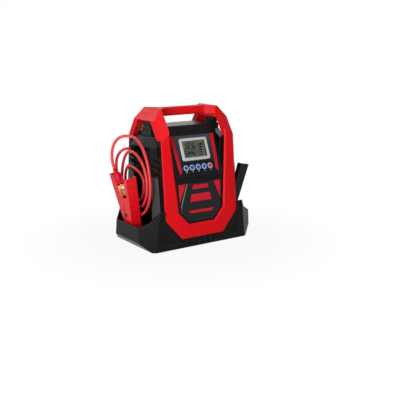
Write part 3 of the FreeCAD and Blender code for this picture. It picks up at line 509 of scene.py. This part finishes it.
def pictogram(kind, x, z):
    """Battery, plug, lightning, rising bars or power sign."""
    u = mark_unit

    def bar(x0, x1, z0, z1):
        return box_outline(x + x0 * u, x + x1 * u, z + z0 * u, z + z1 * u)

    if kind == 0:
        return [bar(-4, 4, 0, 1), bar(-4, 4, 4, 5), bar(-4, -3, 1, 4), bar(3, 4, 1, 4), bar(4, 5, 2, 3)]
    if kind == 1:
        return [bar(-1, 1, 0, 2), bar(-3, 3, 2, 3), bar(-2, -1, 3, 5), bar(1, 2, 3, 5)]
    if kind == 2:
        return [[(x - 2 * u, z + 2 * u), (x + 3 * u, z + 2.4 * u), (x - u, z - u)],
                [(x - 3 * u, z + 3 * u), (x + u, z + 6 * u), (x + 2 * u, z + 3.4 * u)]]
    if kind == 3:
        return [bar(-4, -3, 0, 1), bar(-2, -1, 0, 2), bar(0, 1, 0, 3.5), bar(2, 3, 0, 5)]
    return [band(x, z + 2.5 * u, 2 * u, 2.8 * u, 120, 420, 20), bar(-0.4, 0.4, 3, 6)]


marks = []
for i in range(5):
    marks += pictogram(i, button_mid_x + (i - 2) * button_pitch, -button_drop - mark_drop)
add_print("button_marks", marks, white_ink, "pale_ring")


# Display: seven-segment figures, a curved gauge and a side column

lit_segments = {"1": "bc", "2": "abged", "6": "afgedc"}
figure_width = 0.52       # share of a figure's height
segment_gap = 0.25        # share of a segment's thickness


def digit_outlines(figure, x, z, high, thick):
    """Segments of one figure; x, z is its lower left corner."""
    wide = high * figure_width
    half = high / 2
    gap = thick * segment_gap
    across = {"a": high - thick, "g": half - thick / 2, "d": 0.0}
    upright = {"f": (0.0, half), "b": (wide - thick, half), "e": (0.0, 0.0), "c": (wide - thick, 0.0)}
    out = []
    for name in lit_segments[figure]:
        if name in across:
            low = z + across[name]
            out.append([(x + gap, low + thick / 2), (x + thick, low), (x + wide - thick, low),
                        (x + wide - gap, low + thick / 2), (x + wide - thick, low + thick),
                        (x + thick, low + thick)])
        else:
            left = x + upright[name][0]
            low = z + upright[name][1]
            out.append([(left + thick / 2, low + gap), (left + thick, low + thick),
                        (left + thick, low + half - thick), (left + thick / 2, low + half - gap),
                        (left, low + half - thick), (left, low + thick)])
    return out


figure_low = -0.0325
figure_height = 0.0185
figure_thick = 0.0026
figures = [("1", -0.0345), ("2", -0.0225), ("6", -0.0060)]
gauge_centre = (-0.0140, -0.0600)
gauge_first, gauge_last = 150, 30
gauge_bars = 9
gauge_step = 13.5
gauge_bar_turn = 10.0
gauge_bar_in = 0.0155
gauge_bar_out = 0.0190
gauge_bar_more = 0.0006   # every second bar is longer by this
gauge_line = (0.0135, 0.0141)                      # inner and outer radius of the arc under the bars
point_x = -0.0100         # decimal point
point_size = 0.0022
dashes = [(-0.0345, -0.0240), (-0.0200, -0.0060)]  # under the figures
dash_low, dash_high = -0.0384, -0.0370
column_line = (0.0122, 0.0128, -0.0555, -0.0110)   # between the figures and the column
column_bars = 5
column_x = 0.0175
column_low = -0.0530
column_step = 0.0078
column_bar_high = 0.0038
column_bar_wide = 0.0040
column_bar_more = 0.0022  # each bar is wider by this than the one below
segment_front = -window_face - 0.00010
segment_back = -window_face - 0.00002

segments = []
for figure, x in figures:
    segments += digit_outlines(figure, x, figure_low, figure_height, figure_thick)
segments.append(box_outline(point_x, point_x + point_size, figure_low, figure_low + point_size))
segments.append(box_outline(*column_line))
for k in range(gauge_bars):
    first = gauge_first - k * gauge_step
    outer = gauge_bar_out + gauge_bar_more * (k % 2)
    segments.append(band(*gauge_centre, gauge_bar_in, outer, first, first - gauge_bar_turn, 4))
segments.append(band(*gauge_centre, *gauge_line, gauge_first, gauge_last, 20))
for k in range(column_bars):
    low = column_low + column_step * k
    segments.append(box_outline(column_x, column_x + column_bar_wide + column_bar_more * k,
                                low, low + column_bar_high))
for x0, x1 in dashes:
    segments.append(box_outline(x0, x1, dash_low, dash_high))
segment_mesh = plate_mesh("display_segments", segments, panel_axes, segment_front, segment_back)
add_piece("display_segments", segment_mesh, segment_ink, "display_face")


# Stepped posts under the yokes, with pockets in their faces

post_x = 0.1095
post_low = 0.300
post_tiers = [(0.0104, 0.0299, 0.325), (0.0092, 0.0247, 0.342), (0.0080, 0.0195, None)]  # half x, half y, top
post_rim = 0.003
post_pocket = 0.002
tall_step = 0.014         # a step taller than this has a ledge across it
ledge_height = 0.0155     # from the post's sloped top down to the last step's ledge
skin = 0.0001             # keeps faces that would share a plane apart


roof_x, roof_z = 0.0993, 0.3947     # where the yoke's roof begins to slope down
roof_slope = 1.203
roof_thick = 0.0062


def roof_height(x):
    """Under side of the yoke's sloped roof."""
    return roof_z - roof_slope * (abs(x) - roof_x) - roof_thick


def add_post(side, replaced):
    """Each step is a core with rims, corner posts and middle ribs that leave shallow pockets."""
    plates = []
    low = post_low
    for half_x, half_y, top in post_tiers:
        x0, x1 = post_x - half_x, post_x + half_x
        tops = (roof_height(x0), roof_height(x1)) if top is None else (top, top)

        def block(left, right, front, back, foot, cap):
            """Block that ends cap below the step's top; foot counts up from its low end, or down from
            its top if it is negative."""
            heights = []
            for x in (left, right):
                high = tops[0] + (tops[1] - tops[0]) * (x - x0) / (x1 - x0)
                heights.append((low + foot if foot >= 0 else high + foot, high - cap))
            outline = [(side * left, heights[0][0]), (side * right, heights[1][0]),
                       (side * right, heights[1][1]), (side * left, heights[0][1])]
            plates.append(([outline], Matrix.Identity(4), front, back))

        block(x0 + post_pocket, x1 - post_pocket, post_pocket - half_y, half_y - post_pocket, 0, skin)
        block(x0, x1, -half_y, half_y, -post_rim, 0)
        if tops[1] - low > tall_step:
            block(x0, x1, -half_y, half_y, 0, tops[1] - low - post_rim if top else ledge_height)
        for y in (-half_y, -post_rim / 2, half_y - post_rim):
            block(x0 + skin, x1 - skin, y + skin, y + post_rim - skin, skin, 2 * skin)
        low = tops[1] if top else low
    name = replaced + "_form"
    piece = add_piece(name, plates_mesh(name, plates), black_plastic, "black_plastic")
    round_edges(piece, width=0.0004)
    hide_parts(replaced)


add_post(1, "right_handle_post")
add_post(-1, "left_handle_post")


# Clamp handles: channels drawn with the handles up, y across the jaws and z along the clamp

clamp_x, clamp_z = 0.1755, 0.098
clamp_tilt = math.radians(12)
handle_wide = 0.0157
handle_narrow = 0.0127
handle_wall = 0.0025
handle_back = [(0.053, 0.117), (0.032, 0.0), (0.027, -0.026), (0.019, -0.050)]
back_thick = 0.003
back_inset = 0.0002       # how far the back ends inside the cheeks' outer faces
jaw_edge = [(0.009, -0.050), (0.003, -0.022), (-0.006, -0.008), (-0.006, 0.008)]
fixed_edge = [(0.001, 0.012), (0.001, 0.052)]
moving_edge = [(-0.006, 0.012), (-0.006, 0.052), (0.028, 0.058)]
end_corner = (0.036, 0.117)
slot_radius = 0.0026
slot_low, slot_high = 0.013, 0.031
groove_count = 5
groove_first = 0.012      # from the handle's end
groove_pitch = 0.020
groove_half = 0.0018
groove_depth = 0.0007


def handle_shell(name, half_width, inner_edge, way, axes, material, replaced, body):
    """Grooved back and two cheeks of one handle; way is 1 for the rear half and -1 for the front one,
    which has a slot in its cheeks."""
    cheek = handle_back + jaw_edge + inner_edge + [end_corner]
    slot = (arc_points(0, slot_high, slot_radius, 0, 180, 6)
            + arc_points(0, slot_low, slot_radius, 180, 360, 6))
    outer = [handle_back[0]]
    lean = (handle_back[0][0] - handle_back[1][0]) / handle_back[0][1]
    for k in range(groove_count):
        z = handle_back[0][1] - groove_first - groove_pitch * k
        for step, depth in ((groove_half, 0), (0, groove_depth), (-groove_half, 0)):
            outer.append((handle_back[1][0] + lean * (z + step) - depth, z + step))
    outer += handle_back[1:]
    back = outer + [(y - back_thick, z) for y, z in reversed(handle_back)]
    plates = [([[(way * y, z) for y, z in back]], axes, back_inset - half_width, half_width - back_inset)]
    loops = [[(way * y, z) for y, z in cheek]]
    if way < 0:
        loops.append([(way * y, z) for y, z in slot])
    for near in (-half_width, half_width - handle_wall):
        plates.append((loops, axes, near, near + handle_wall))
    piece = add_piece(name, plates_mesh(name, plates), material, replaced.split("_")[0] + "_grip", body)
    round_edges(piece, width=0.0006)
    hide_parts(replaced)


# Lug, nut and boot on the inner edge of the rear handle

nut_sides = 6
stud_sides = 16
boot_sides = 24


def turn(shape, stand, start, way, profile, count=boot_sides):
    """Add a turned solid: profile is a list of (along, radius) from start, in the clamp's axes. The sides of
    a nut stay flat."""
    across = Vector((1, 0, 0))
    other = way.cross(across)
    rings = []
    for along, radius in profile:
        ring = []
        for k in range(count):
            angle = 2 * math.pi * k / count
            spot = start + way * along + (across * math.cos(angle) + other * math.sin(angle)) * radius
            ring.append(shape.verts.new(stand @ spot))
        rings.append(ring)
    for low_ring, high_ring in zip(rings, rings[1:]):
        for k in range(count):
            j = (k + 1) % count
            shape.faces.new((low_ring[k], low_ring[j], high_ring[j], high_ring[k])).smooth = count > nut_sides
    shape.faces.new(rings[0])
    shape.faces.new(list(reversed(rings[-1])))


def turned_piece(name, mesh, turns, stand, material, slot, replaced):
    """Piece of a mesh, if any, with turned solids joined to it."""
    shape = bmesh.new()
    if mesh:
        shape.from_mesh(mesh)
    for item in turns:
        turn(shape, stand, *item)
    bmesh.ops.recalc_face_normals(shape, faces=shape.faces)
    whole = bpy.data.meshes.new(name)
    shape.to_mesh(whole)
    shape.free()
    piece = add_piece(name, whole, material, slot)
    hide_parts(replaced)
    return piece


fork = Vector((0, *fixed_edge[-1]))
edge_way = (Vector((0, *end_corner)) - fork).normalized()
edge_off = Vector((0, -edge_way.z, edge_way.y))
boot_low = Vector((0, 0.0240, 0.0900))
boot_high = Vector((0, 0.0380, 0.1320))
boot_way = (boot_high - boot_low).normalized()
swap = Matrix(((0, 1, 0, 0), (1, 0, 0, 0), (0, 0, 1, 0), (0, 0, 0, 1)))     # of a plate's x and y

lug_thick = 0.0025
lug_half_width = 0.0127
lug_stem = [(0, 0.005), (0.016, 0.005)]
nut_along = 0.026
nut_profile = [(0, 0.006), (0.0038, 0.006), (0.0045, 0.0054)]
stud_profile = [(0, 0.0028), (0.0016, 0.0028), (0.002, 0.0023)]
lug_low, lug_high = 0.003, 0.037            # ends of the lug and the saddle along the edge
saddle_low, saddle_high = 0.040, 0.070
saddle_thick = 0.007
saddle_half_width = 0.0124
boot_profile = [(0, 0.0088), (0.001, 0.0096), (0.029, 0.0096), (0.031, 0.0078), (0.0325, 0.0066),
                (0.0345, 0.0066), (0.0348, 0.0054), (0.0366, 0.0054), (0.0369, 0.0066), (0.0388, 0.0066),
                (0.0391, 0.0053), (0.0409, 0.0053), (0.0412, 0.0064), (0.0430, 0.0062), (0.0442, 0.0050)]


def edge_plate(first, last, thick):
    """Outline of a plate on the handle's inner edge, between two places along it."""
    corners = []
    for along, off in ((first, 0), (last, 0), (last, thick), (first, thick)):
        spot = fork + edge_way * along + edge_off * off
        corners.append((spot.y, spot.z))
    return corners


def add_clamp(colour, side, grip_material, boot_material):
    """Handles, lug, nut and boot of one clamp; returns the boot."""
    stand = Matrix.Translation((side * clamp_x, 0, clamp_z)) @ Matrix.Rotation(side * clamp_tilt, 4, "Y")
    axes = stand @ swap
    handle_shell(colour + "_fixed_grip", handle_narrow, fixed_edge, 1, axes, grip_material,
                 colour + "_clamp_fixed_handle", "pack")
    handle_shell(colour + "_moving_grip", handle_wide, moving_edge, -1, axes, grip_material,
                 colour + "_clamp_moving_handle", colour + "_clamp_upper_half")
    lug = plate_mesh("lug", [edge_plate(lug_low, lug_high, lug_thick)], axes, -lug_half_width,
                     lug_half_width)
    stem_start = boot_low - boot_way * lug_stem[-1][0]
    turned_piece(colour + "_lug_form", lug, [(stem_start, boot_way, lug_stem)], stand, copper, "copper",
                 colour + "_clamp_lug")
    seat = fork + edge_way * nut_along + edge_off * lug_thick
    turned_piece(colour + "_nut_form", None,
                 [(seat, edge_off, nut_profile, nut_sides),
                  (seat + edge_off * nut_profile[-1][0], edge_off, stud_profile, stud_sides)],
                 stand, nut_metal, "nut_plating", colour + "_clamp_nut")
    saddle = plate_mesh("saddle", [edge_plate(saddle_low, saddle_high, saddle_thick)], axes,
                        -saddle_half_width, saddle_half_width)
    boot = turned_piece(colour + "_boot_form", saddle, [(boot_low, boot_way, boot_profile)], stand,
                        boot_material, colour + "_cable", colour + "_clamp_boot")
    round_edges(boot, width=0.0010)
    return boot


red_boot_piece = add_clamp("red", -1, red_grip, red_boot)
black_boot_piece = add_clamp("black", 1, black_grip, black_boot)


# Cables

def smooth_cable(colour, points, material):
    """Cable along given points, from the boot on its clamp to its gland."""
    name = colour + "_cable"
    curve = bpy.data.curves.new(name, "CURVE")
    curve.dimensions = "3D"
    curve.bevel_depth = cable_diameter / 2
    curve.bevel_resolution = 5
    curve.resolution_u = 8
    curve.use_fill_caps = True
    line = curve.splines.new("NURBS")
    line.points.add(len(points) - 1)
    for point, place in zip(line.points, points):
        point.co = (*place, 1.0)
    line.order_u = 3
    line.use_endpoint_u = True
    piece = bpy.data.objects.new(name, curve)
    scene.collection.objects.link(piece)
    curve.materials.append(material)
    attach(piece, "pack")
    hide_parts(name + "_coil")


quarter_points = 4
loop_count = 3
loop_x = 0.154            # first loop's place
loop_pitch = 0.008        # between loops, towards the housing
loop_drift = 0.002        # along x from one quarter to the next
loop_mid_z = 0.185
loop_low_z = 0.092
top_inwards = 0.023       # how far each loop's extremes move inwards from the last loop's
low_inwards = 0.008
low_rise = 0.019
rear_inwards = 0.006


def loop_points(loops):
    """Four points to each quarter of every hanging loop, just outside an oval through its four extremes.
    The last loop ends at its low point."""
    step = math.pi / 2 / quarter_points
    out_share = 1 / math.cos(step / 2)
    quarters = []
    for k in range(loop_count):
        x = -(loop_x - loop_pitch * k)
        top = (x - loop_drift, loops["top_y"] + top_inwards * k, loops["top_z"] - loops["top_step"] * k)
        front = (x, loops["front_y"] + loops["front_step"] * k, loop_mid_z)
        low = (x + loop_drift, low_inwards * k, loop_low_z + low_rise * k)
        rear = (x + 2 * loop_drift, loops["rear_y"] - rear_inwards * k, loop_mid_z)
        next_top = (x + 3 * loop_drift, top[1] + top_inwards, top[2] - loops["top_step"])
        quarters += [(top, front, True), (front, low, False), (low, rear, True), (rear, next_top, False)]
    points = []
    for start, end, level_first in quarters[:-2]:
        for i in range(quarter_points):
            angle = (i + 0.5) * step
            along = math.sin(angle) * out_share
            down = math.cos(angle) * out_share
            if level_first:
                y = start[1] + (end[1] - start[1]) * along
                z = end[2] + (start[2] - end[2]) * down
            else:
                y = end[1] + (start[1] - end[1]) * down
                z = start[2] + (end[2] - start[2]) * along
            x = start[0] + (end[0] - start[0]) * (i + 0.5) / quarter_points
            points.append((x, y, z))
    return points


def flipped(points):
    """The same points on the other side of the pack."""
    return [(-x, y, z) for x, y, z in points]


red_loops = {"top_y": 0.015, "top_z": 0.317, "top_step": 0.046, "front_y": -0.078, "front_step": 0.031,
             "rear_y": 0.092}
black_loops = {"top_y": 0.018, "top_z": 0.287, "top_step": 0.028, "front_y": -0.056, "front_step": 0.023,
               "rear_y": 0.090}

# Ends of the cables, drawn on the left side
boot_end = (-0.2029, 0.0380, 0.2271)
gland_end = (-0.1410, 0.0580, 0.2765)
tail = [(-0.1365, 0.030, 0.1300), (-0.1430, 0.054, 0.1380), (-0.1590, 0.072, 0.1620),
        (-0.1710, 0.080, 0.1950), (-0.1750, 0.081, 0.2270), (-0.1730, 0.076, 0.2540),
        (-0.1640, 0.065, 0.2720), (-0.1520, 0.058, 0.2765), gland_end]
red_lead = [boot_end, (-0.2052, 0.0415, 0.2380), (-0.2068, 0.0430, 0.2520), (-0.2068, 0.0430, 0.2740),
            (-0.2035, 0.0385, 0.2950), (-0.1960, 0.0310, 0.3110), (-0.1850, 0.0220, 0.3190),
            (-0.1710, 0.0110, 0.3205)]
black_lead = [boot_end, (-0.2050, 0.0415, 0.2380), (-0.2062, 0.0420, 0.2520), (-0.2050, 0.0400, 0.2660),
              (-0.2000, 0.0320, 0.2810), (-0.1890, 0.0230, 0.2900), (-0.1740, 0.0130, 0.2910)]

smooth_cable("red", red_lead + loop_points(red_loops) + tail, red_sleeve)
smooth_cable("black", flipped(black_lead + loop_points(black_loops) + tail), black_sleeve)


# Stage, light and camera

shadow_reach = 0.25       # the floor keeps its shadows up to here, and is white from white_reach on
white_reach = 0.5
near_white = 0.92
floor_colour = linear(180, 179, 176)
world_level = 0.16


def seen_rays(tree):
    """Socket that is 1 for what the camera sees, also in a mirror or through glass."""
    rays = tree.nodes.new("ShaderNodeLightPath")
    seen = rays.outputs["Is Camera Ray"]
    for name in ("Is Glossy Ray", "Is Transmission Ray"):
        either = tree.nodes.new("ShaderNodeMath")
        either.operation = "MAXIMUM"
        tree.links.new(seen, either.inputs[0])
        tree.links.new(rays.outputs[name], either.inputs[1])
        seen = either.outputs[0]
    return seen


def white_behind(name, colour):
    """A surface lit as it is, but mostly white to the camera and to mirrors, and fully so far away."""
    material = bpy.data.materials.new(name)
    material.use_nodes = True
    tree = material.node_tree
    surface = tree.nodes["Principled BSDF"]
    surface.inputs["Base Color"].default_value = colour
    surface.inputs["Roughness"].default_value = 0.9
    glow = tree.nodes.new("ShaderNodeEmission")
    glow.inputs["Color"].default_value = (1, 1, 1, 1)
    glow.inputs["Strength"].default_value = 1.0
    place = tree.nodes.new("ShaderNodeTexCoord")
    length = tree.nodes.new("ShaderNodeVectorMath")
    length.operation = "LENGTH"
    tree.links.new(place.outputs["Object"], length.inputs[0])
    far = tree.nodes.new("ShaderNodeMapRange")
    far.inputs["From Min"].default_value = shadow_reach
    far.inputs["From Max"].default_value = white_reach
    far.inputs["To Min"].default_value = near_white
    tree.links.new(length.outputs["Value"], far.inputs["Value"])
    share = tree.nodes.new("ShaderNodeMath")
    share.operation = "MULTIPLY"
    tree.links.new(seen_rays(tree), share.inputs[0])
    tree.links.new(far.outputs["Result"], share.inputs[1])
    mix = tree.nodes.new("ShaderNodeMixShader")
    tree.links.new(share.outputs[0], mix.inputs[0])
    tree.links.new(surface.outputs[0], mix.inputs[1])
    tree.links.new(glow.outputs[0], mix.inputs[2])
    tree.links.new(mix.outputs[0], tree.nodes["Material Output"].inputs["Surface"])
    return material


def make_floor():
    """Wide round floor."""
    shape = bmesh.new()
    bmesh.ops.create_circle(shape, cap_ends=True, segments=64, radius=6.0)
    mesh = bpy.data.meshes.new("floor")
    shape.to_mesh(mesh)
    shape.free()
    floor = bpy.data.objects.new("floor", mesh)
    scene.collection.objects.link(floor)
    mesh.materials.append(white_behind("white floor", floor_colour))
    floor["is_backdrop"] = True


def make_world(level):
    """World that gives a low even light, and is white behind the object."""
    world = bpy.data.worlds.new("studio")
    scene.world = world
    world.use_nodes = True
    tree = world.node_tree
    background = tree.nodes["Background"]
    background.inputs["Color"].default_value = (1, 1, 1, 1)
    strength = tree.nodes.new("ShaderNodeMapRange")
    strength.inputs["To Min"].default_value = level
    strength.inputs["To Max"].default_value = 1.0
    tree.links.new(seen_rays(tree), strength.inputs["Value"])
    tree.links.new(strength.outputs["Result"], background.inputs["Strength"])


def add_lamp(name, place, target, size, power):
    """Rectangular lamp that faces its target."""
    lamp = bpy.data.lights.new(name, "AREA")
    lamp.shape = "RECTANGLE"
    lamp.size, lamp.size_y = size
    lamp.energy = power
    holder = bpy.data.objects.new(name, lamp)
    holder.location = place
    holder.rotation_euler = (Vector(target) - Vector(place)).to_track_quat("-Z", "Y").to_euler()
    scene.collection.objects.link(holder)


make_floor()
make_world(world_level)
add_lamp("key", place=(-0.97, -0.7, 0.38), target=(-0.05, -0.05, 0.2), size=(0.45, 0.7), power=12)
add_lamp("front_top", place=(0.05, -0.98, 1.5), target=(0, 0, 0.2), size=(0.4, 0.4), power=6.5)
add_lamp("back_top", place=(-0.48, 1.25, 1.05), target=(0, 0, 0.35), size=(0.5, 0.4), power=3.4)
add_lamp("back_right", place=(1.3, 0.95, 0.8), target=(0, 0, 0.25), size=(0.5, 0.5), power=6)

camera = bpy.data.cameras.new("camera")
camera.lens = camera_lens
camera.sensor_width = sensor_width
camera.clip_start = 0.05
camera_object = bpy.data.objects.new("camera", camera)
camera_object.location = camera_place
sight = Vector((math.sin(camera_yaw) * math.cos(camera_pitch), math.cos(camera_yaw) * math.cos(camera_pitch),
                -math.sin(camera_pitch)))
camera_object.rotation_euler = sight.to_track_quat("-Z", "Y").to_euler()
scene.collection.objects.link(camera_object)
scene.camera = camera_object
scene.view_settings.view_transform = "Standard"

low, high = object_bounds()
